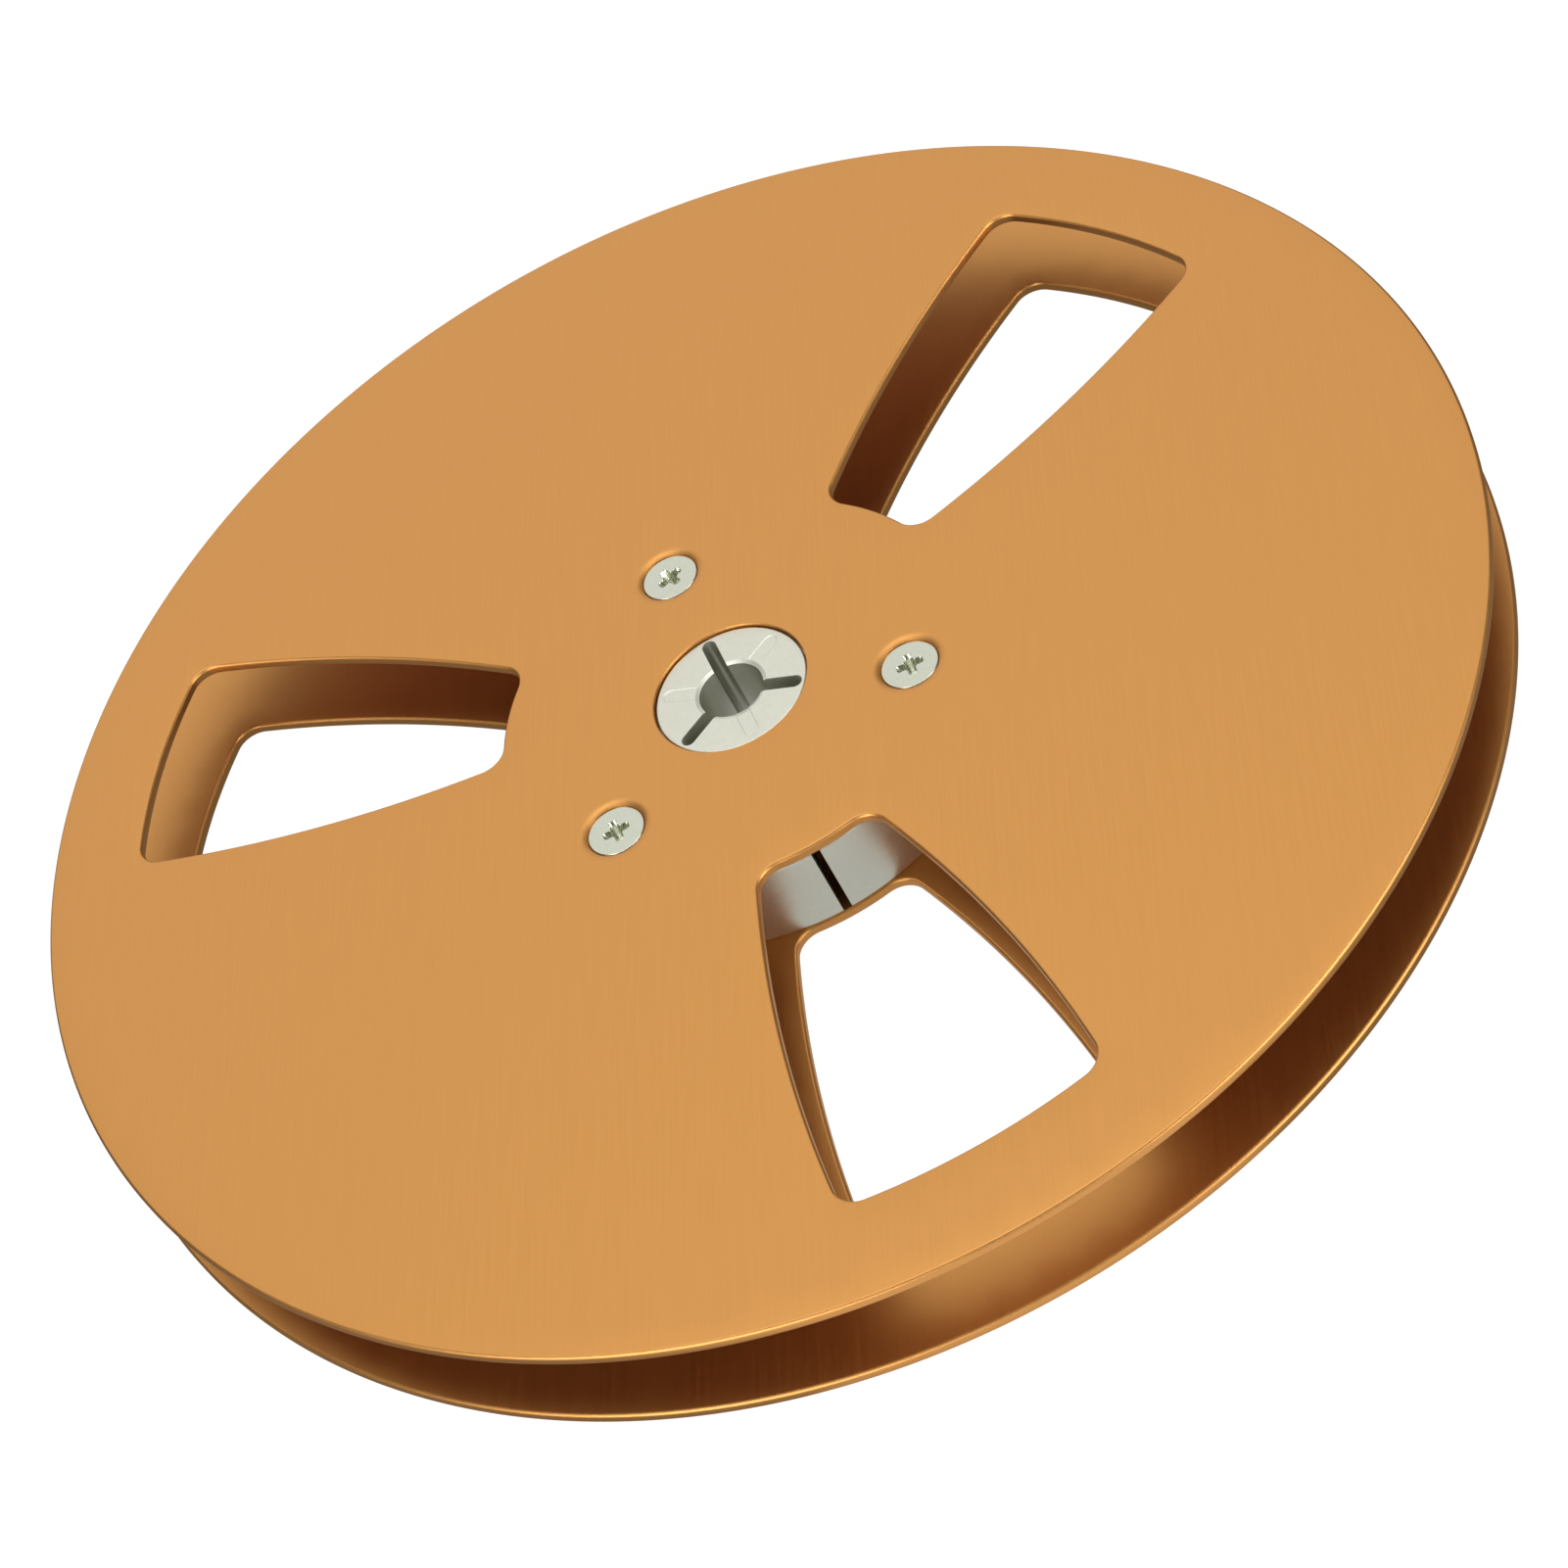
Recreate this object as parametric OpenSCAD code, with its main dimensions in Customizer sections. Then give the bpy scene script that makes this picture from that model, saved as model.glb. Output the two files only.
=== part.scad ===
// Metal take-up reel: two sheet flanges screwed to a machined hub.
// The reel lies flat. The origin is on its axis, on the lower flange's outer face, and +Z runs along the axis.
// +X is the middle of the window that shows the tape slot. Lengths are in millimetres.

/* [Reel] */
// Diameter of both flanges
flange_d = 177.8; // [170:0.1:190]
// Width over the outer faces of the two flanges
reel_w = 13.5; // [13.2:0.1:16]
// Thickness of each flange
flange_t = 1.4; // [1.2:0.05:1.6]
// Radius of the softened edges of each flange's rim
rim_round_r = 0.4; // [0.2:0.05:0.5]
// Number of windows, which is also the number of keyways and of screws a side
sectors = 3; // [3:1:3]

/* [Windows] */
// Radius of each window's inner edge about the reel's axis
window_inner_r = 28.8; // [27:0.1:32]
// Radius of each window's outer edge about the reel's axis
window_outer_r = 76.9; // [70:0.1:80]
// Half of a window's width at its inner corners
window_inner_half_w = 7.1; // [6:0.1:8]
// Half of a window's width at its outer corners
window_outer_half_w = 15.4; // [14:0.1:16]
// Radius of the outward bow of a window's two sides
window_side_r = 156; // [120:1:300]
// Fillet radius at a window's inner corners
window_inner_fillet_r = 3.1; // [1.5:0.1:3.5]
// Fillet radius at a window's outer corners
window_outer_fillet_r = 3; // [1.5:0.1:3.5]

/* [Hub] */
// Diameter of the drum that the tape winds on
drum_d = 57.2; // [56:0.1:60]
// Diameter of the bosses that fill the flanges' centre holes
boss_d = 18.8; // [18.4:0.1:20]
// How far each boss's end lies below its flange's outer face
boss_sink = 0.35; // [0:0.05:0.5]
// Gap all round between a boss and its flange
boss_gap = 0.15; // [0.05:0.05:0.3]
// Diameter of the spindle bore
bore_d = 8; // [7.9:0.05:8.1]
// Chamfer at the two ends of the spindle bore
bore_chamfer = 0.4; // [0.2:0.1:0.6]
// Chamfer round the drum's and the bosses' edges
edge_chamfer = 0.2; // [0.1:0.05:0.3]
// Width of each keyway
keyway_w = 1.75; // [1.5:0.05:1.9]
// Radius that the keyways' round ends reach
keyway_reach_r = 8.95; // [8.5:0.05:9]
// Width of the slot that holds the end of the tape
tape_slot_w = 1.1; // [0.8:0.1:2]
// Depth of the tape slot from the drum's surface
tape_slot_depth = 12; // [6:0.5:14]
// Turn of the tape slot and the keyways against the windows, in degrees
hub_turn = -0.9; // [-1.5:0.1:1.5]

/* [Screws] */
// Diameter of the circle that the screws stand on
screw_circle_d = 44.4; // [42:0.1:46]
// Diameter of a screw's head
screw_head_d = 6.9; // [6:0.1:7.2]
// Height of the straight edge of a screw's head
screw_head_edge = 0.25; // [0.1:0.05:0.4]
// How far the top of a screw's head lies below its flange's outer face
screw_sink = 0.35; // [0.2:0.05:0.4]
// Diameter of a screw's thread
screw_d = 3.5; // [3:0.1:3.5]
// Length of a screw over its head
screw_length = 6; // [4:0.1:6.1]
// Width over the cross recess
recess_w = 3.3; // [2.8:0.1:3.6]
// Depth of the cross recess
recess_depth = 1.3; // [0.8:0.1:1.6]
// Diameter of the dish pressed in a flange round each screw's head
dish_d = 9.6; // [8:0.1:10]
// Depth of that dish at the edge of the head
dish_depth = 0.5; // [0.3:0.05:0.6]
// How far a pressed seat reaches below its flange into the hub
seat_drop = 1.1; // [0.9:0.05:1.2]

/* [Hidden] */
$fn = 96;

gold = [0.83, 0.60, 0.33];
silver = [0.80, 0.80, 0.76];
nickel = [0.86, 0.87, 0.84];

flange_r = flange_d / 2;
drum_h = reel_w - 2 * flange_t;
boss_h = reel_w - 2 * boss_sink;
sector_angle = 360 / sectors;
overrun = 1;
fit_gap = 0.05;

// Screws and keyways stand midway between the windows
first_screw_angle = sector_angle / 2;
// Each cross recess is left where its screw came tight
upper_recess_turns = [-6, 20, 0];
lower_recess_turns = [35, 12, 68];

cone_h = (screw_head_d - screw_d) / 2;
recess_arm_w = 0.8;
recess_floor_w = 1.2;
tip_chamfer = 0.5;
seat_top_r = dish_d / 2;
seat_foot_r = screw_d / 2 + 1.6;

// A window's side is an arc through its inner and outer corner, bowed away from the window's middle
inner_corner = corner_on(window_inner_r, window_inner_half_w);
outer_corner = corner_on(window_outer_r, window_outer_half_w);
side_centre = arc_centre(inner_corner, outer_corner, window_side_r);
inner_fillet_centre = circles_meet(window_inner_r + window_inner_fillet_r,
                                   side_centre, window_side_r - window_inner_fillet_r, inner_corner);
outer_fillet_centre = circles_meet(window_outer_r - window_outer_fillet_r,
                                   side_centre, window_side_r - window_outer_fillet_r, outer_corner);

// Point at radius r about the axis that stands y from the X axis
function corner_on(r, y) = [sqrt(r * r - y * y), y];

// Centre of the arc of radius r from a to b, on its right-hand side
function arc_centre(a, b, r) =
    let (chord = b - a, half = norm(chord) / 2, rise = sqrt(r * r - half * half))
    (a + b) / 2 + rise * [chord.y, -chord.x] / norm(chord);

// Point at distance r1 from the origin and r2 from c2, taking the solution nearer to target
function circles_meet(r1, c2, r2, target) =
    let (
        d = norm(c2),
        along = (r1 * r1 - r2 * r2 + d * d) / (2 * d),
        across = sqrt(r1 * r1 - along * along),
        u = c2 / d,
        p = along * u + across * [-u.y, u.x],
        q = along * u - across * [-u.y, u.x]
    )
    norm(p - target) < norm(q - target) ? p : q;

// Point at distance r from centre in the direction of p
function on_circle(centre, r, p) = centre + r * (p - centre) / norm(p - centre);

// What a fillet takes off a corner, between its tangent points a and b
module corner_waste(centre, r, a, b, corner) {
    difference() {
        polygon([centre, centre + 1.5 * (a - centre), centre + 2 * (corner - centre),
                 centre + 1.5 * (b - centre)]);
        translate(centre) circle(r = r);
    }
}

// Waste at the two corners on the window's +Y side
module side_corner_waste() {
    corner_waste(inner_fillet_centre, window_inner_fillet_r,
                 on_circle([0, 0], window_inner_r, inner_fillet_centre),
                 on_circle(side_centre, window_side_r, inner_fillet_centre), inner_corner);
    corner_waste(outer_fillet_centre, window_outer_fillet_r,
                 on_circle([0, 0], window_outer_r, outer_fillet_centre),
                 on_circle(side_centre, window_side_r, outer_fillet_centre), outer_corner);
}

// Outline of the window whose middle lies along +X
module window_outline() {
    difference() {
        intersection() {
            difference() {
                circle(r = window_outer_r);
                circle(r = window_inner_r);
            }
            translate([0, -flange_r]) square([flange_r, flange_d]);
            translate(side_centre) circle(r = window_side_r, $fn = 360);
            mirror([0, 1]) translate(side_centre) circle(r = window_side_r, $fn = 360);
        }
        side_corner_waste();
        mirror([0, 1]) side_corner_waste();
    }
}

// Half section of a flange from its centre hole to its softened rim
module flange_section() {
    hole_r = boss_d / 2 + boss_gap;
    round_x = flange_r - rim_round_r;
    difference() {
        translate([hole_r, 0]) square([flange_r - hole_r, flange_t]);
        for (side = [0, 1])
            translate([0, side * flange_t]) mirror([0, side]) difference() {
                translate([round_x, -overrun]) square([rim_round_r + overrun, rim_round_r + overrun]);
                translate([round_x, rim_round_r]) circle(r = rim_round_r);
            }
    }
}

// Space that a pressed seat leaves free, from the flange's outer face down
module seat_hollow() {
    edge_z = -screw_sink - screw_head_edge;
    translate([0, 0, -dish_depth])
        cylinder(h = dish_depth, r1 = screw_head_d / 2 + fit_gap, r2 = seat_top_r);
    translate([0, 0, edge_z - cone_h])
        cylinder(h = cone_h, r1 = screw_d / 2 + fit_gap, r2 = screw_head_d / 2 + fit_gap);
    translate([0, 0, edge_z])
        cylinder(h = overrun - edge_z, r = screw_head_d / 2 + fit_gap);
    translate([0, 0, -flange_t - seat_drop - overrun])
        cylinder(h = flange_t + seat_drop + overrun, r = screw_d / 2 + fit_gap);
}

// One flange, its outer face up on z = 0 and its pressed seats reaching down
module flange() {
    difference() {
        union() {
            translate([0, 0, -flange_t]) rotate_extrude() flange_section();
            at_screws() translate([0, 0, -flange_t - seat_drop])
                cylinder(h = seat_drop + flange_t / 2, r1 = seat_foot_r, r2 = seat_top_r);
        }
        for (i = [0 : sectors - 1])
            rotate(i * sector_angle) translate([0, 0, -flange_t - overrun])
                linear_extrude(flange_t + 2 * overrun) window_outline();
        at_screws() seat_hollow();
    }
}

// Children at every screw's place
module at_screws() {
    for (i = [0 : sectors - 1])
        rotate(first_screw_angle + i * sector_angle) translate([screw_circle_d / 2, 0, 0]) children();
}

// Keyway from the axis to its round end, along +X
module keyway_outline() {
    end_x = keyway_reach_r - keyway_w / 2;
    translate([0, -keyway_w / 2]) square([end_x, keyway_w]);
    translate([end_x, 0]) circle(d = keyway_w);
}

// Hollow in the hub for one screw and the seat above it, from the drum's end face down
module screw_hole() {
    translate([0, 0, -drum_h / 2 - overrun]) cylinder(h = drum_h / 2 + 2 * overrun, r = screw_d / 2);
    translate([0, 0, -seat_drop - fit_gap])
        cylinder(h = seat_drop + fit_gap, r1 = seat_foot_r + fit_gap, r2 = seat_top_r + fit_gap);
    cylinder(h = overrun, r = seat_top_r + fit_gap);
}

// Cylinder from z = 0 up, with both ends chamfered
module chamfered_cylinder(h, r, c) {
    cylinder(h = c, r1 = r - c, r2 = r);
    translate([0, 0, c]) cylinder(h = h - 2 * c, r = r);
    translate([0, 0, h - c]) cylinder(h = c, r1 = r, r2 = r - c);
}

// Spindle bore through the hub, chamfered at both ends
module spindle_bore() {
    bore_r = bore_d / 2;
    mouth_h = bore_chamfer + overrun;
    cylinder(h = reel_w, r = bore_r);
    translate([0, 0, boss_sink - overrun])
        cylinder(h = mouth_h, r1 = bore_r + mouth_h, r2 = bore_r);
    translate([0, 0, reel_w - boss_sink - bore_chamfer])
        cylinder(h = mouth_h, r1 = bore_r, r2 = bore_r + mouth_h);
}

// Hub: the drum, a boss at each end, the keyed spindle bore, the tape slot and the screw holes
module hub() {
    color(silver)
    difference() {
        union() {
            translate([0, 0, boss_sink]) chamfered_cylinder(boss_h, boss_d / 2, edge_chamfer);
            translate([0, 0, flange_t]) chamfered_cylinder(drum_h, drum_d / 2, edge_chamfer);
        }
        spindle_bore();
        rotate(hub_turn) {
            for (i = [0 : sectors - 1])
                rotate(first_screw_angle + i * sector_angle) translate([0, 0, -overrun])
                    linear_extrude(reel_w + 2 * overrun) keyway_outline();
            translate([drum_d / 2 - tape_slot_depth, -tape_slot_w / 2, flange_t - overrun])
                cube([tape_slot_depth + overrun, tape_slot_w, drum_h + 2 * overrun]);
        }
        at_screws() {
            translate([0, 0, reel_w - flange_t]) screw_hole();
            translate([0, 0, flange_t]) mirror([0, 0, 1]) screw_hole();
        }
    }
}

module upper_flange() {
    color(gold) translate([0, 0, reel_w]) flange();
}

module lower_flange() {
    color(gold) mirror([0, 0, 1]) flange();
}

// One arm pair of the cross recess, cut down from z = 0
module recess_arms() {
    rotate([90, 0, 0]) translate([0, 0, -recess_arm_w / 2]) linear_extrude(recess_arm_w)
        polygon([[-recess_w / 2, 0], [-recess_w / 2, overrun], [recess_w / 2, overrun], [recess_w / 2, 0],
                 [recess_floor_w / 2, -recess_depth], [-recess_floor_w / 2, -recess_depth]]);
}

// Countersunk screw hanging down from z = 0, its cross recess turned by recess_turn
module countersunk_screw(recess_turn) {
    thread_r = screw_d / 2 - fit_gap;
    head_r = screw_head_d / 2;
    difference() {
        union() {
            translate([0, 0, -screw_head_edge]) cylinder(h = screw_head_edge, r = head_r);
            translate([0, 0, -screw_head_edge - cone_h]) cylinder(h = cone_h, r1 = thread_r, r2 = head_r);
            translate([0, 0, tip_chamfer - screw_length])
                cylinder(h = screw_length - tip_chamfer - screw_head_edge, r = thread_r);
            translate([0, 0, -screw_length])
                cylinder(h = tip_chamfer, r1 = thread_r - tip_chamfer, r2 = thread_r);
        }
        for (arm_turn = [0, 90])
            rotate(recess_turn + arm_turn) recess_arms();
    }
}

// Screw number i of the upper flange
module upper_screw(i) {
    angle = first_screw_angle + (i - 1) * sector_angle;
    color(nickel) rotate(angle) translate([screw_circle_d / 2, 0, reel_w - screw_sink])
        rotate(-angle) countersunk_screw(upper_recess_turns[i - 1]);
}

// Screw number i of the lower flange, on the same axis as the upper one
module lower_screw(i) {
    angle = first_screw_angle + (i - 1) * sector_angle;
    color(nickel) rotate(angle) translate([screw_circle_d / 2, 0, screw_sink])
        rotate(-angle) mirror([0, 0, 1]) countersunk_screw(lower_recess_turns[i - 1]);
}

hub();
upper_flange();
lower_flange();
upper_screw(1);  // upper_screw_1
upper_screw(2);  // upper_screw_2
upper_screw(3);  // upper_screw_3
lower_screw(1);  // lower_screw_1
lower_screw(2);  // lower_screw_2
lower_screw(3);  // lower_screw_3
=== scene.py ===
import math

import bmesh
import bpy
from mathutils import Matrix, Vector, kdtree
from mathutils.geometry import delaunay_2d_cdt


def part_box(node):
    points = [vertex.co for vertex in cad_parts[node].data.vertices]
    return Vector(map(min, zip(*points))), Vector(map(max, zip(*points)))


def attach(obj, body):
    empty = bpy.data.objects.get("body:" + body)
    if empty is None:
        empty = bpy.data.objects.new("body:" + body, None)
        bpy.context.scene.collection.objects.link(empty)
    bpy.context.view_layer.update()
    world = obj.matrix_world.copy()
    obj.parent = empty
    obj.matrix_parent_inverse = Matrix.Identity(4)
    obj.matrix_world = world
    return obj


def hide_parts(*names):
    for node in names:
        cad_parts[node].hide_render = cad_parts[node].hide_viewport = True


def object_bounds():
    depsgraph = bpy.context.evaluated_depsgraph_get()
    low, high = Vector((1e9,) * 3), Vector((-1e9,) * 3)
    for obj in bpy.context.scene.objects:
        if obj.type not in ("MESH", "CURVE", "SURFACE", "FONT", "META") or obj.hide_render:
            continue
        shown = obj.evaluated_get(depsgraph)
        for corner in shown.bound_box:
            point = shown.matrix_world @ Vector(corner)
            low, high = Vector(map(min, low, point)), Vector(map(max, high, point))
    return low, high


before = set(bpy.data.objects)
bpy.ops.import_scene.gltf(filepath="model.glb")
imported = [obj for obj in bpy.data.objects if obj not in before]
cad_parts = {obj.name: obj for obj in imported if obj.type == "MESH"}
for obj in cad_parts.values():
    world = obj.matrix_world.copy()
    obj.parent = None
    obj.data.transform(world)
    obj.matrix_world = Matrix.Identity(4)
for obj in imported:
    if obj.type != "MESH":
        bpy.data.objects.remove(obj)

# A gold and silver take-up reel that lies flat. Its axis is along Z, and the window over the tape slot is
# towards +X. Shapes are worked out in millimetres and stored in metres. Angles are in degrees.

MM = 0.001
cad_box = [list(corner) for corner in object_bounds()]


# ---------------------------------------------------------------- sizes

def reach(node):
    """Largest distance of a CAD node's surface from the reel's axis."""
    return max(math.hypot(v.co.x, v.co.y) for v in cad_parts[node].data.vertices) / MM


def box_mm(node):
    return [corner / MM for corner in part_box(node)]


hub_box = box_mm("hub")
reel_box = [Vector(corner) / MM for corner in cad_box]
screw_box = box_mm("upper_screw_2")  # the screw on the -X axis

REEL_R = reach("upper_flange")
REEL_W = reel_box[1].z - reel_box[0].z
DRUM_R = reach("hub")
FACE_SINK = hub_box[0].z  # the bosses end this far below the flanges' outer faces
SECTORS = 3
SECTOR = 360 / SECTORS

FLANGE_T = 1.4
EDGE_ROUND = 0.4
FLANGE_HOLE_R = 9.55
HOLE_ROUND = 0.15

WINDOW_INNER_R = 28.8
WINDOW_OUTER_R = 76.9
WINDOW_INNER_HALF_W = 7.1
WINDOW_OUTER_HALF_W = 15.4
WINDOW_SIDE_R = 156
WINDOW_INNER_FILLET = 3.1
WINDOW_OUTER_FILLET = 3.0

HUB_TURN = -0.9
BOSS_R = 9.4
BOSS_ROUND = 0.25
BORE_R = 4.0
BORE_CHAMFER_W = 0.45
BORE_CHAMFER_DEPTH = 0.2
DRUM_CHAMFER = 0.2
KEYWAY_W = 1.75
KEYWAY_REACH_R = 8.95
TAPE_SLOT_W = 1.1
TAPE_SLOT_DEPTH = 12
TRACE_W = 1.9
TRACE_REACH_R = 8.6
TRACE_BEVEL_W = 0.13
TRACE_DEPTH = 0.05

SCREW_CIRCLE_R = -(screw_box[0].x + screw_box[1].x) / 2
SCREW_LENGTH = screw_box[1].z - screw_box[0].z
HEAD_R = (screw_box[1].y - screw_box[0].y) / 2
HEAD_EDGE = 0.25
HEAD_ROUND = 0.12
HEAD_GROOVE_W = 0.16
CONE_GAP = 0.03
THREAD_R = 1.7
THREAD_PITCH = 0.6
DISH_R = 4.7
DISH_DEPTH = 0.36
SEAT_DROP = 1.1
SEAT_TOP_R = 4.8
SEAT_FOOT_R = 3.35
THREAD_DEPTH = 0.3
THREAD_LEVELS = 8  # rings of points in each turn of the thread
TIP_CHAMFER = 0.4
THROAT_GAP = 0.1  # round the thread, in the flange's seat
FIT_GAP = 0.05  # round the flange's seats and the threads, in the hub
# The screws' cross recess, from its softened mouth to its floor: depth, an arm's reach and half width, fillet
RECESS = [(0, 1.67, 0.53, 0.34),
          (0.06, 1.62, 0.48, 0.39),
          (0.7, 1.36, 0.44, 0.33),
          (1.3, 0.98, 0.40, 0.26),
          (1.8, 0.60, 0.32, 0.16)]
UPPER_RECESS_TURNS = (-6, 20, 0)
LOWER_RECESS_TURNS = (35, 12, 68)

# Points round the circles, and the distance between points inside a flange's faces
RIM_STEPS = 400
HOLE_STEPS = 128
HEAD_STEPS = 96
SEAT_STEPS = 72
RECESS_STEPS = 48
FACE_SPACING = 3.5


# ---------------------------------------------------------------- outlines

def polar(radius, angle, centre=(0, 0)):
    a = math.radians(angle)
    return centre[0] + radius * math.cos(a), centre[1] + radius * math.sin(a)


def arc(centre, radius, start, end, steps):
    """Points along an arc, without its last one."""
    return [polar(radius, start + (end - start) * k / steps, centre) for k in range(steps)]


def line(a, b, steps):
    """Points along a straight line, without its last one."""
    return [(a[0] + (b[0] - a[0]) * k / steps, a[1] + (b[1] - a[1]) * k / steps) for k in range(steps)]


def circle(radius, steps, centre=(0, 0)):
    return arc(centre, radius, 0, 360, steps)


def turned(points, angle):
    c, s = math.cos(math.radians(angle)), math.sin(math.radians(angle))
    return [(c * x - s * y, s * x + c * y) for x, y in points]


def direction(a, b=(0, 0)):
    """Angle of the direction from b to a."""
    return math.degrees(math.atan2(a[1] - b[1], a[0] - b[0]))


def circles_meet(r1, c2, r2, target):
    """The point at distance r1 from the origin and r2 from c2 that is nearer to target."""
    d = math.hypot(*c2)
    along = (r1 * r1 - r2 * r2 + d * d) / (2 * d)
    across = math.sqrt(r1 * r1 - along * along)
    ux, uy = c2[0] / d, c2[1] / d
    both = [(along * ux - s * across * uy, along * uy + s * across * ux) for s in (1, -1)]
    return min(both, key=lambda p: math.dist(p, target))


def window_centres():
    """Centres of the arc along the window's +Y side and of the fillets at its two ends."""
    inner = (math.sqrt(WINDOW_INNER_R ** 2 - WINDOW_INNER_HALF_W ** 2), WINDOW_INNER_HALF_W)
    outer = (math.sqrt(WINDOW_OUTER_R ** 2 - WINDOW_OUTER_HALF_W ** 2), WINDOW_OUTER_HALF_W)
    chord = math.dist(inner, outer)
    rise = math.sqrt(WINDOW_SIDE_R ** 2 - chord ** 2 / 4)
    side = ((inner[0] + outer[0]) / 2 + rise * (outer[1] - inner[1]) / chord,
            (inner[1] + outer[1]) / 2 - rise * (outer[0] - inner[0]) / chord)
    inner_fillet = circles_meet(WINDOW_INNER_R + WINDOW_INNER_FILLET, side,
                                WINDOW_SIDE_R - WINDOW_INNER_FILLET, inner)
    outer_fillet = circles_meet(WINDOW_OUTER_R - WINDOW_OUTER_FILLET, side,
                                WINDOW_SIDE_R - WINDOW_OUTER_FILLET, outer)
    return side, inner_fillet, outer_fillet


def window_outline(inset):
    """Outline of the window along +X, moved into the sheet by inset. Its arcs keep their centres."""
    side, inner_fillet, outer_fillet = window_centres()
    inner_angle, outer_angle = direction(inner_fillet), direction(outer_fillet)
    side_start, side_end = direction(inner_fillet, side), direction(outer_fillet, side)
    half = arc(inner_fillet, WINDOW_INNER_FILLET + inset, 180 + inner_angle, side_start, 14)
    half += arc(side, WINDOW_SIDE_R + inset, side_start, side_end, 36)
    half += arc(outer_fillet, WINDOW_OUTER_FILLET + inset, side_end, outer_angle, 14)
    last = polar(WINDOW_OUTER_R + inset, outer_angle)
    other_half = [(x, -y) for x, y in reversed(half[1:] + [last])]
    inner_edge = arc((0, 0), WINDOW_INNER_R - inset, -inner_angle, inner_angle, 14)
    outer_edge = arc((0, 0), WINDOW_OUTER_R + inset, outer_angle, -outer_angle, 26)
    clockwise = inner_edge + half + outer_edge + other_half
    return clockwise[::-1]


def bore_outline(bore_r):
    """Outline of the spindle bore with its three keyways."""
    half_w = KEYWAY_W / 2
    root_x = math.sqrt(bore_r ** 2 - half_w ** 2)
    root_angle = direction((root_x, half_w))
    tip_x = KEYWAY_REACH_R - half_w
    keyway = line((root_x, -half_w), (tip_x, -half_w), 8)
    keyway += arc((tip_x, 0), half_w, -90, 90, 14)
    keyway += line((tip_x, half_w), (root_x, half_w), 8)
    points = []
    for k in range(SECTORS):
        turn = HUB_TURN + (k + 0.5) * SECTOR
        points += turned(keyway, turn)
        points += arc((0, 0), bore_r, turn + root_angle, turn + SECTOR - root_angle, 26)
    return points


def drum_outline(radius):
    """Outline of the drum with its tape slot."""
    half_w = TAPE_SLOT_W / 2
    mouth_x = math.sqrt(radius ** 2 - half_w ** 2)
    mouth_angle = direction((mouth_x, half_w))
    floor_x = DRUM_R - TAPE_SLOT_DEPTH
    points = arc((0, 0), radius, mouth_angle, 360 - mouth_angle, 240)
    points += line((mouth_x, -half_w), (floor_x, -half_w), 10)
    points += line((floor_x, -half_w), (floor_x, half_w), 2)
    points += line((floor_x, half_w), (mouth_x, half_w), 10)
    return turned(points, HUB_TURN)


def trace_outline(inset):
    """Outline of the shallow slot that the keyway cutter left along +X, from the bore's chamfer outwards."""
    half_w = TRACE_W / 2 - inset
    near_r = BORE_R + BORE_CHAMFER_W + 0.06
    near_angle = math.degrees(math.asin(half_w / near_r))
    far_x = TRACE_REACH_R - TRACE_W / 2
    points = arc((0, 0), near_r, near_angle, -near_angle, 10)
    points += line(polar(near_r, -near_angle), (far_x, -half_w), 8)
    points += arc((far_x, 0), half_w, -90, 90, 16)
    points += line((far_x, half_w), polar(near_r, near_angle), 8)
    return points


def cross_outline(reach_r, half_w, fillet):
    """Outline of a cross recess, with rounded arm ends and rounded inner corners."""
    tip = half_w * 0.6
    corner = half_w + fillet
    quarter = line((reach_r, 0), (reach_r, half_w - tip), 1)
    quarter += arc((reach_r - tip, half_w - tip), tip, 0, 90, 4)
    quarter += line((reach_r - tip, half_w), (corner, half_w), 3)
    quarter += arc((corner, corner), fillet, 270, 180, 5)
    quarter += line((half_w, corner), (half_w, reach_r - tip), 3)
    quarter += arc((half_w - tip, reach_r - tip), tip, 0, 90, 4)
    quarter += line((half_w - tip, reach_r), (0, reach_r), 1)
    return [p for k in range(4) for p in turned(quarter, 90 * k)]


# ---------------------------------------------------------------- mesh building

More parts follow.
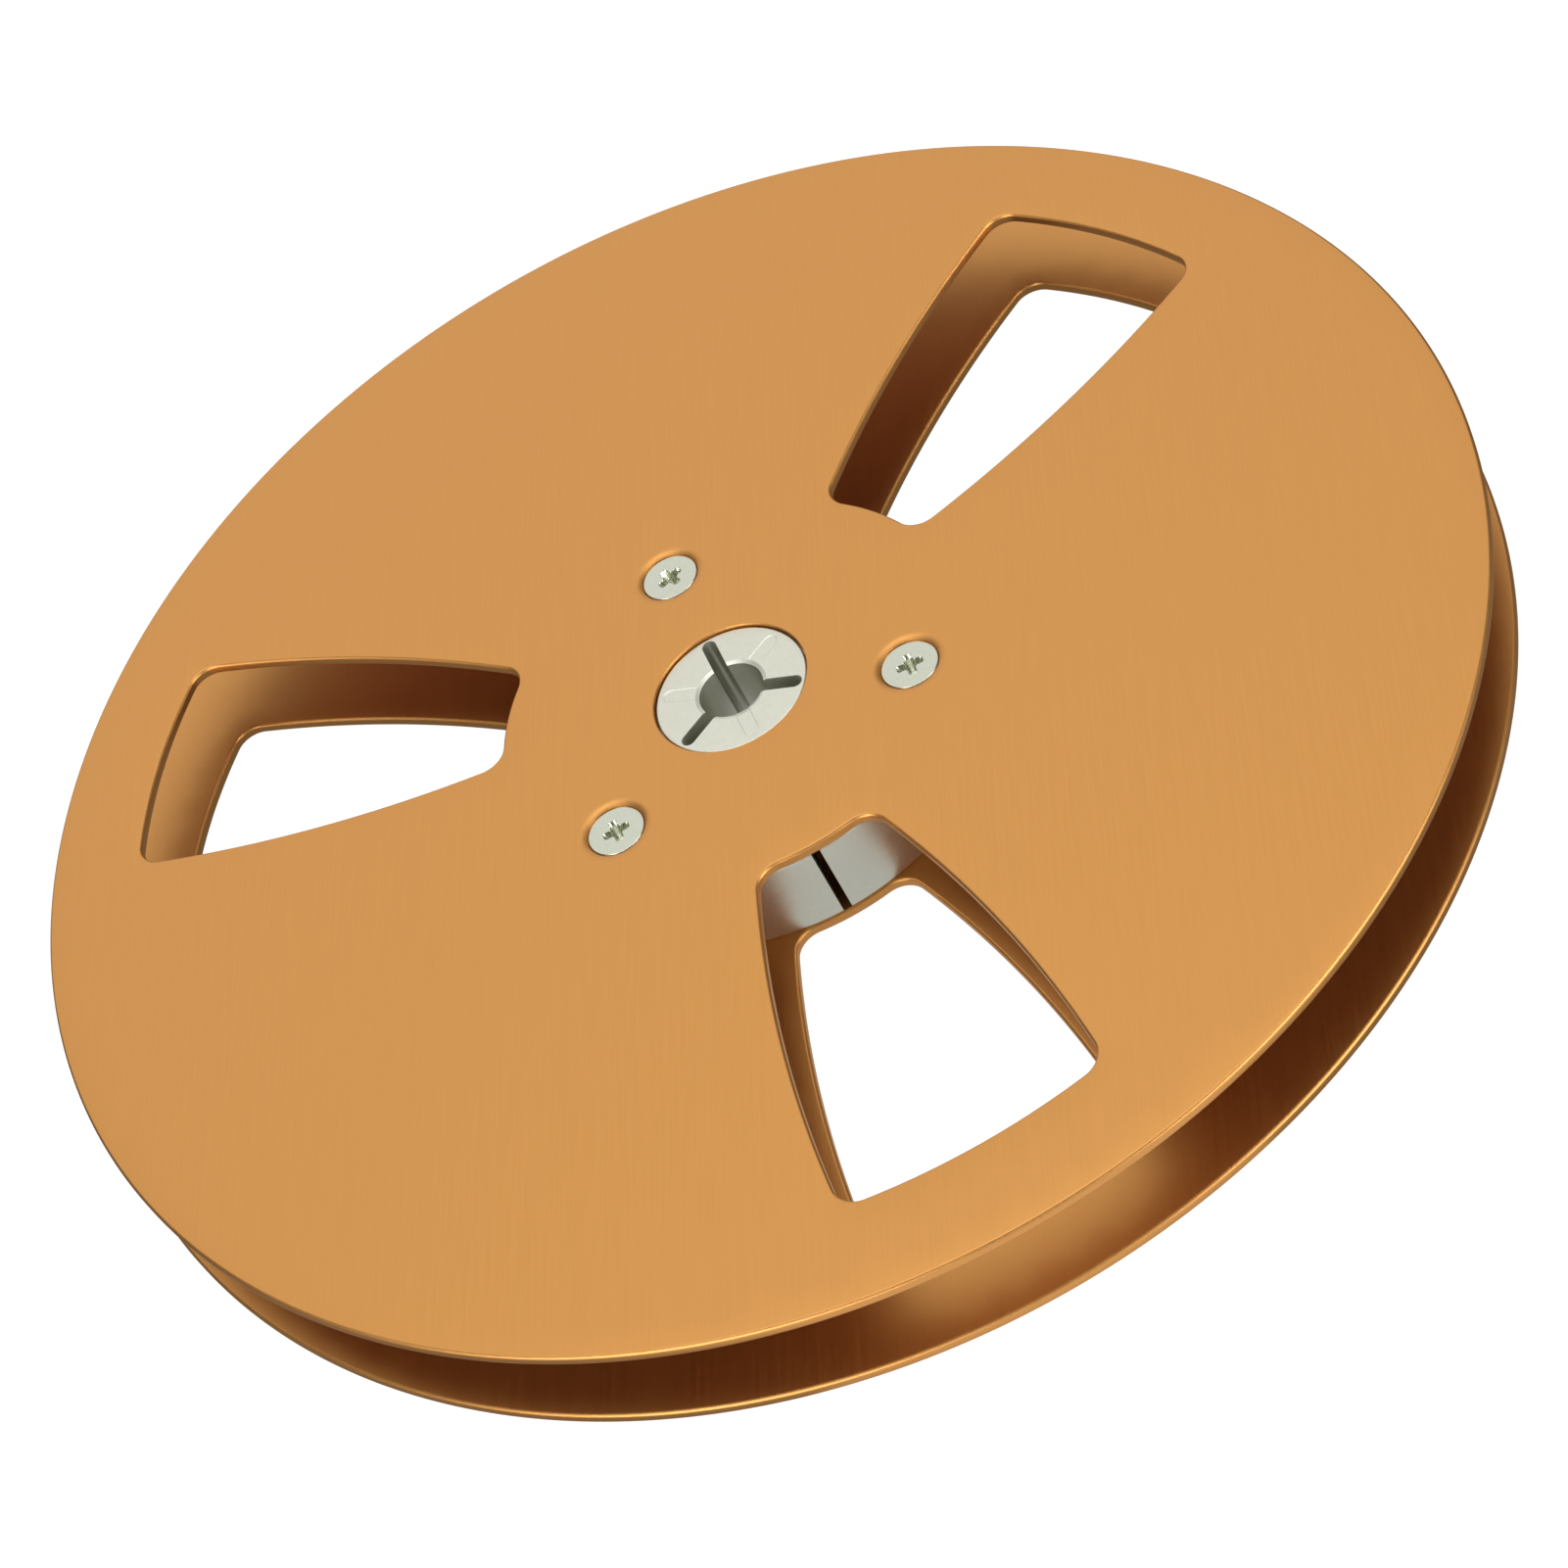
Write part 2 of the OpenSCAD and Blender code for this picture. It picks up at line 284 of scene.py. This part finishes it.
class Shell:
    """A closed mesh made of rings, strips between rings, and flat faces inside rings."""

    def __init__(self):
        self.bm = bmesh.new()
        self.place = Matrix()

    def ring(self, outline, z):
        """A ring of vertices. z is one height, or a function of the point."""
        height = z if callable(z) else lambda x, y: z
        return [self.bm.verts.new(self.place @ Vector((x, y, height(x, y))) * MM) for x, y in outline]

    def strip(self, a, b):
        for i in range(len(a)):
            self.bm.faces.new((a[i - 1], a[i], b[i], b[i - 1])).smooth = True

    def loft(self, rings):
        for a, b in zip(rings, rings[1:]):
            self.strip(a, b)

    def fill(self, outer, holes=(), spacing=None):
        """Flat triangles inside the ring outer and outside the rings in holes. All run anticlockwise.
        spacing spreads points over the face, that far apart, so that its triangles are even."""
        verts = []
        loops = []
        for ring in (outer, *holes):
            loops.append(list(range(len(verts), len(verts) + len(ring))))
            verts += ring
        points = [v.co.xy / MM for v in verts]
        if spacing:
            points += self.spread(points, spacing)
        leave_out_holes = 2
        made, _, faces, origins, _, _ = delaunay_2d_cdt(points, [], loops, leave_out_holes, 1e-5)
        corners = [verts[o[0]] if o and o[0] < len(verts) else None for o in origins]
        for i in sorted({i for face in faces for i in face}):
            if corners[i] is None:
                corners[i] = self.bm.verts.new((made[i].x * MM, made[i].y * MM, outer[0].co.z))
        for face in faces:
            self.bm.faces.new([corners[i] for i in face])

    def spread(self, edge_points, spacing):
        """Points of a triangular grid that are clear of the edge points."""
        tree = kdtree.KDTree(len(edge_points))
        for i, p in enumerate(edge_points):
            tree.insert((p.x, p.y, 0), i)
        tree.balance()
        extent = max(p.length for p in edge_points)
        rows = int(extent / (spacing * math.sqrt(0.75)))
        columns = int(extent / spacing) + 1
        grid = []
        for row in range(-rows, rows + 1):
            for column in range(-columns, columns + 1):
                x = (column + row % 2 / 2) * spacing
                y = row * spacing * math.sqrt(0.75)
                if math.hypot(x, y) < extent and tree.find((x, y, 0))[2] > spacing * 0.6:
                    grid.append(Vector((x, y)))
        return grid

    def finish(self, name, material, node, crease=30):
        """The finished piece, which stands for a CAD node. Edges sharper than crease degrees stay sharp."""
        bmesh.ops.recalc_face_normals(self.bm, faces=self.bm.faces)
        mesh = bpy.data.meshes.new(name)
        self.bm.to_mesh(mesh)
        self.bm.free()
        mesh.set_sharp_from_angle(angle=math.radians(crease))
        mesh.materials.append(material)
        piece = bpy.data.objects.new(name, mesh)
        bpy.context.scene.collection.objects.link(piece)
        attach(piece, "root")
        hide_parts(node)
        return piece


def upper_side():
    """Places z = 0 on the upper flange's outer face."""
    return Matrix.Translation((0, 0, REEL_W))


def lower_side():
    """Places z = 0 on the lower flange's outer face, with the reel's inside below it."""
    return Matrix.Scale(-1, 4, (0, 0, 1))


def screw_centre(i):
    return polar(SCREW_CIRCLE_R, (i + 0.5) * SECTOR)


# ---------------------------------------------------------------- flanges

def quarter_round(radius, steps=6):
    """(inset, z) round an edge, from the flat face above it to its side."""
    quarter = [math.pi / 2 * k / steps for k in range(steps + 1)]
    return [(radius * (1 - math.sin(a)), radius * (math.cos(a) - 1)) for a in quarter]


def rounded_edge(radius):
    """(inset, z) from the upper face of the sheet, round its edge and down to its lower face."""
    upper = quarter_round(radius)
    return upper + [(inset, -FLANGE_T - z) for inset, z in reversed(upper)]


def seat_profile():
    """(radius, z) about a screw's axis: the dish, the cone that holds the head, and the seat's underside."""
    dish = []
    dish_steps = 10
    dish_foot_r = HEAD_R + HEAD_GROOVE_W
    for k in range(dish_steps + 1):
        t = k / dish_steps
        dish.append((DISH_R + (dish_foot_r - DISH_R) * t, -DISH_DEPTH * t * t))
    throat_r = THREAD_R + THROAT_GAP
    # The cone runs parallel to the head's own, a little outside it
    cone_top_z = -FACE_SINK - HEAD_EDGE + HEAD_GROOVE_W - CONE_GAP
    cone = [(dish_foot_r, cone_top_z), (throat_r, cone_top_z - (dish_foot_r - throat_r))]
    foot = -FLANGE_T - SEAT_DROP
    underside = [(throat_r, foot), (SEAT_FOOT_R, foot), (SEAT_TOP_R, -FLANGE_T)]
    return dish + cone + underside


def make_flange(name, node, side):
    shell = Shell()
    shell.place = side
    # Each edge is a list of (outline, z), from the upper face to the lower one. The rim comes first.
    edges = [[(circle(REEL_R - inset, RIM_STEPS), z) for inset, z in rounded_edge(EDGE_ROUND)],
             [(circle(FLANGE_HOLE_R + inset, HOLE_STEPS), z) for inset, z in rounded_edge(HOLE_ROUND)]]
    for i in range(SECTORS):
        turn = i * SECTOR
        edges.append([(turned(window_outline(inset), turn), z) for inset, z in rounded_edge(EDGE_ROUND)])
        edges.append([(circle(radius, SEAT_STEPS, screw_centre(i)), z) for radius, z in seat_profile()])
    upper_rings = []
    lower_rings = []
    for edge in edges:
        rings = [shell.ring(outline, z) for outline, z in edge]
        shell.loft(rings)
        upper_rings.append(rings[0])
        lower_rings.append(rings[-1])
    shell.fill(upper_rings[0], upper_rings[1:], spacing=FACE_SPACING)
    shell.fill(lower_rings[0], lower_rings[1:], spacing=FACE_SPACING)
    return shell.finish(name, gold, node)


# ---------------------------------------------------------------- hub

def make_hub():
    shell = Shell()
    ends = []
    seat_floor = -FLANGE_T - SEAT_DROP - FIT_GAP
    for side in (upper_side(), lower_side()):
        shell.place = side
        # The boss: its face with the bore's mouth and the cutter's traces, and its side
        boss = []
        for inset, z in quarter_round(BOSS_ROUND):
            boss.append(shell.ring(circle(BOSS_R - inset, HOLE_STEPS), z - FACE_SINK))
        boss_foot = shell.ring(circle(BOSS_R, HOLE_STEPS), -FLANGE_T)
        shell.loft([*boss, boss_foot])
        mouth = shell.ring(bore_outline(BORE_R + BORE_CHAMFER_W), -FACE_SINK)
        bore_top = shell.ring(bore_outline(BORE_R), -FACE_SINK - BORE_CHAMFER_DEPTH)
        shell.strip(mouth, bore_top)
        traces = [trace_mark(shell, HUB_TURN + k * SECTOR) for k in range(SECTORS)]
        shell.fill(boss[0], [mouth, *traces])
        # The drum's end, with the recesses for the flange's seats
        drum_end = shell.ring(drum_outline(DRUM_R - DRUM_CHAMFER), -FLANGE_T)
        drum_edge = shell.ring(drum_outline(DRUM_R), -FLANGE_T - DRUM_CHAMFER)
        shell.strip(drum_end, drum_edge)
        seats = []
        holes = []
        for i in range(SECTORS):
            centre = screw_centre(i)
            seat_mouth = shell.ring(circle(SEAT_TOP_R + FIT_GAP, RECESS_STEPS, centre), -FLANGE_T)
            seat_foot = shell.ring(circle(SEAT_FOOT_R + FIT_GAP, RECESS_STEPS, centre), seat_floor)
            hole_mouth = shell.ring(circle(THREAD_R + FIT_GAP, RECESS_STEPS, centre), seat_floor)
            shell.loft([seat_mouth, seat_foot, hole_mouth])
            seats.append(seat_mouth)
            holes.append(hole_mouth)
        shell.fill(drum_end, [boss_foot, *seats])
        ends.append([bore_top, drum_edge, *holes])
    for upper, lower in zip(*ends):
        shell.strip(upper, lower)
    return shell.finish("hub_body", silver, "hub", crease=20)


def trace_mark(shell, angle):
    """Cuts one shallow cutter's trace into the boss's face and returns the ring at its mouth."""
    mouth = shell.ring(turned(trace_outline(0), angle), -FACE_SINK)
    floor = shell.ring(turned(trace_outline(TRACE_BEVEL_W), angle), -FACE_SINK - TRACE_DEPTH)
    shell.strip(floor, mouth)
    shell.fill(floor)
    return mouth


# ---------------------------------------------------------------- screws

def make_screw(name, node, side, centre, recess_turn):
    """Countersunk cross-recess screw with a rolled thread."""
    shell = Shell()
    shell.place = side @ Matrix.Translation((*centre, -FACE_SINK))
    recess = []
    for depth, arm_reach, half_w, fillet in RECESS:
        outline = cross_outline(arm_reach, half_w, fillet)
        recess.append(shell.ring(turned(outline, recess_turn), -depth))
    shell.loft(recess)
    shell.fill(recess[-1])
    # The head, and its cone down to the thread
    thread_top = -HEAD_EDGE - (HEAD_R - THREAD_R)
    body = [shell.ring(circle(HEAD_R - inset, HEAD_STEPS), z) for inset, z in quarter_round(HEAD_ROUND, 4)]
    shell.fill(body[0], [recess[0]])
    body.append(shell.ring(circle(HEAD_R, HEAD_STEPS), -HEAD_EDGE))
    body.append(shell.ring(circle(THREAD_R, HEAD_STEPS), thread_top))
    # The thread, a helix that starts and ends gently, and the chamfered tip
    thread_end = TIP_CHAMFER - SCREW_LENGTH
    levels = int((thread_top - thread_end) / THREAD_PITCH * THREAD_LEVELS)
    for level in range(1, levels):
        z = thread_top + (thread_end - thread_top) * level / levels
        fade = min(1, level / THREAD_LEVELS, (levels - level) / THREAD_LEVELS)
        body.append(shell.ring(thread_outline(z, THREAD_DEPTH * fade), z))
    body.append(shell.ring(circle(THREAD_R, HEAD_STEPS), thread_end))
    body.append(shell.ring(circle(THREAD_R - TIP_CHAMFER, HEAD_STEPS), -SCREW_LENGTH))
    shell.loft(body)
    shell.fill(body[-1])
    return shell.finish(name, nickel, node)


def thread_outline(z, depth):
    """Cross-section of a V thread of that depth, at height z."""
    points = []
    for k in range(HEAD_STEPS):
        phase = z / THREAD_PITCH + k / HEAD_STEPS
        flank = abs((phase % 1) * 2 - 1)
        points.append(polar(THREAD_R - depth * flank, 360 * k / HEAD_STEPS))
    return points


# ---------------------------------------------------------------- materials

class Look:
    """A node material around one Principled BSDF."""

    def __init__(self, name, **values):
        self.material = bpy.data.materials.new(name)
        self.material.use_nodes = True
        self.tree = self.material.node_tree
        self.shader = self.tree.nodes["Principled BSDF"]
        for key, value in values.items():
            self.shader.inputs[key.replace("_", " ")].default_value = value

    def node(self, kind, **settings):
        made = self.tree.nodes.new(kind)
        for key, value in settings.items():
            setattr(made, key, value)
        return made

    def link(self, output, target):
        self.tree.links.new(output, target)

    def coordinates(self, scale, turn=0):
        """Object coordinates, first turned about Z and then scaled."""
        place = self.node("ShaderNodeTexCoord")
        turner = self.node("ShaderNodeMapping")
        turner.inputs["Rotation"].default_value = (0, 0, math.radians(turn))
        scaler = self.node("ShaderNodeMapping")
        scaler.inputs["Scale"].default_value = scale
        self.link(place.outputs["Object"], turner.inputs["Vector"])
        self.link(turner.outputs["Vector"], scaler.inputs["Vector"])
        return scaler.outputs["Vector"]

    def noise(self, scale, turn=0, detail=3, roughness=0.6):
        """Noise stretched by the three scales, in features per metre."""
        made = self.node("ShaderNodeTexNoise")
        made.inputs["Scale"].default_value = 1
        made.inputs["Detail"].default_value = detail
        made.inputs["Roughness"].default_value = roughness
        self.link(self.coordinates(scale, turn), made.inputs["Vector"])
        return made.outputs["Fac"]

    def spread(self, factor, low, high):
        """factor's middle range stretched to run from low to high."""
        made = self.node("ShaderNodeMapRange")
        made.inputs["From Min"].default_value = 0.3
        made.inputs["From Max"].default_value = 0.7
        made.inputs["To Min"].default_value = low
        made.inputs["To Max"].default_value = high
        self.link(factor, made.inputs["Value"])
        return made.outputs["Result"]

    def blend(self, factor, low, high):
        """Colour that runs from low to high."""
        made = self.node("ShaderNodeMix", data_type="RGBA")
        for socket in made.inputs:
            if socket.type == "RGBA" and socket.name == "A":
                socket.default_value = (*low, 1)
            if socket.type == "RGBA" and socket.name == "B":
                socket.default_value = (*high, 1)
        self.link(factor, made.inputs["Factor"])
        return next(o for o in made.outputs if o.type == "RGBA")

    def bump(self, height, distance, strength):
        made = self.node("ShaderNodeBump")
        made.inputs["Strength"].default_value = strength
        made.inputs["Distance"].default_value = distance
        self.link(height, made.inputs["Height"])
        self.link(made.outputs["Normal"], self.shader.inputs["Normal"])


def times(colour, factor):
    return tuple(c * factor for c in colour)


def gold_look():
    """Gold anodised sheet with fine straight grain."""
    look = Look("gold_anodised", Metallic=1.0, Roughness=0.42)
    grain_turn = 20  # the grain runs 20 degrees clockwise of +X, and this turns it along X
    grain = look.noise((90, 4500, 4500), grain_turn, detail=4)
    colour = (0.655, 0.315, 0.092)
    look.link(look.blend(look.spread(grain, 0, 1), times(colour, 0.975), times(colour, 1.025)),
              look.shader.inputs["Base Color"])
    look.link(look.spread(grain, 0.39, 0.45), look.shader.inputs["Roughness"])
    look.bump(grain, 0.000004, 0.5)
    return look.material


def silver_look():
    """Clear anodised, finely turned aluminium."""
    look = Look("silver_anodised", Metallic=1.0, Roughness=0.4)
    speckle = look.noise((1500, 1500, 1500), detail=3)
    colour = (0.70, 0.70, 0.60)
    look.link(look.blend(look.spread(speckle, 0, 1), times(colour, 0.97), times(colour, 1.03)),
              look.shader.inputs["Base Color"])
    look.link(look.spread(speckle, 0.36, 0.44), look.shader.inputs["Roughness"])
    look.bump(speckle, 0.000004, 0.3)
    return look.material


def nickel_look():
    """Bright nickel plating."""
    look = Look("nickel_plated", Metallic=1.0, Roughness=0.22)
    speckle = look.noise((2500, 2500, 2500), detail=2)
    colour = (0.63, 0.65, 0.54)
    look.link(look.blend(look.spread(speckle, 0, 1), times(colour, 0.97), times(colour, 1.03)),
              look.shader.inputs["Base Color"])
    look.link(look.spread(speckle, 0.18, 0.26), look.shader.inputs["Roughness"])
    look.bump(speckle, 0.000003, 0.3)
    return look.material


def floor_look():
    """Translucent white table, lit from below, so it takes hardly any shadow."""
    look = Look("white_table", Roughness=0.8)
    look.shader.inputs["Base Color"].default_value = (0.1, 0.1, 0.1, 1)
    look.shader.inputs["Emission Color"].default_value = (1, 1, 1, 1)
    look.shader.inputs["Emission Strength"].default_value = 1.0
    return look.material


# ---------------------------------------------------------------- studio

def make_floor():
    grid = bmesh.new()
    bmesh.ops.create_grid(grid, x_segments=1, y_segments=1, size=4)
    mesh = bpy.data.meshes.new("floor")
    grid.to_mesh(mesh)
    grid.free()
    mesh.materials.append(floor_look())
    floor = bpy.data.objects.new("floor", mesh)
    bpy.context.scene.collection.objects.link(floor)
    # Only the camera sees the table. The soft lights under it are what light the reel from below.
    floor.visible_diffuse = False
    floor.visible_glossy = False
    floor.visible_transmission = False
    floor.visible_shadow = False


def from_centre(azimuth, elevation, distance):
    """Point at that distance from the middle of the reel's upper face. Azimuth 0 is +X."""
    a, e = math.radians(azimuth), math.radians(elevation)
    away = Vector((math.cos(a) * math.cos(e), math.sin(a) * math.cos(e), math.sin(e)))
    return Vector((0, 0, REEL_W * MM)) + away * distance


def soft_light(name, place, aim, width, height, radiance):
    """Flat rectangular light at place that faces aim. radiance is the brightness of its surface."""
    light = bpy.data.lights.new(name, "AREA")
    light.shape = "RECTANGLE"
    light.size, light.size_y = width, height
    light.energy = radiance * math.pi * width * height
    lamp = bpy.data.objects.new(name, light)
    lamp.location = place
    lamp.rotation_euler = (aim - place).to_track_quat("-Z", "Y").to_euler()
    bpy.context.scene.collection.objects.link(lamp)


def make_lights():
    world = bpy.data.worlds.new("studio")
    world.use_nodes = True
    world.node_tree.nodes["Background"].inputs["Color"].default_value = (1, 1, 1, 1)
    world.node_tree.nodes["Background"].inputs["Strength"].default_value = 0.15
    bpy.context.scene.world = world
    middle = from_centre(0, 0, 0)
    away = 1.5
    soft_light("back_softbox", from_centre(180, 38, away), middle, 2.0, 2.2, 0.82)
    soft_light("top_softbox", from_centre(180, 86, away), middle, 1.4, 0.6, 2.5)
    soft_light("table_glow", from_centre(0, -90, 0.3), middle, 2.0, 2.0, 0.08)
    for name, across in (("left", -1), ("right", 1)):
        soft_light(f"{name}_lamp", from_centre(across * 42, 15, away), middle, 1.2, 0.6, 5.5)
        soft_light(f"{name}_fill", from_centre(across * 58, 40, away), middle, 0.7, 0.5, 4)
    # The table is brightest in front: under the window that shows the drum, and beyond the rim
    for name, x, length, width, radiance in (("window_glow", 51, 0.09, 0.06, 0.36),
                                             ("front_glow", 175, 0.16, 0.5, 0.75)):
        under_table = Vector((x, 0, -8)) * MM
        soft_light(name, under_table, under_table + Vector((0, 0, 1)), length, width, radiance)


def make_camera():
    """Camera at 43 degrees above the reel, turned about its own axis."""
    data = bpy.data.cameras.new("camera")
    data.sensor_width = 36
    data.lens = 86.3
    data.shift_x = 0.0163
    data.shift_y = 0.0440
    data.clip_start = 0.01
    place = from_centre(1.284, 43.29, 0.43616)
    aim = Vector((25.7, -6.0, REEL_W)) * MM
    forward = (aim - place).normalized()
    right = forward.cross(Vector((0, 0, 1))).normalized()
    up = right.cross(forward)
    roll = math.radians(31.35)
    tilted_right = math.cos(roll) * right - math.sin(roll) * up
    tilted_up = math.sin(roll) * right + math.cos(roll) * up
    camera = bpy.data.objects.new("camera", data)
    turn = Matrix((tilted_right, tilted_up, -forward)).transposed()
    camera.matrix_world = Matrix.Translation(place) @ turn.to_4x4()
    bpy.context.scene.collection.objects.link(camera)
    bpy.context.scene.camera = camera


# ---------------------------------------------------------------- the reel

gold = gold_look()
silver = silver_look()
nickel = nickel_look()

make_hub()
for level, side, recess_turns in (("upper", upper_side(), UPPER_RECESS_TURNS),
                                  ("lower", lower_side(), LOWER_RECESS_TURNS)):
    make_flange(f"{level}_flange_sheet", f"{level}_flange", side)
    for i in range(SECTORS):
        node = f"{level}_screw_{i + 1}"
        make_screw(f"{node}_body", node, side, screw_centre(i), recess_turns[i])

make_floor()
make_lights()
make_camera()
bpy.context.scene.view_settings.view_transform = "Standard"
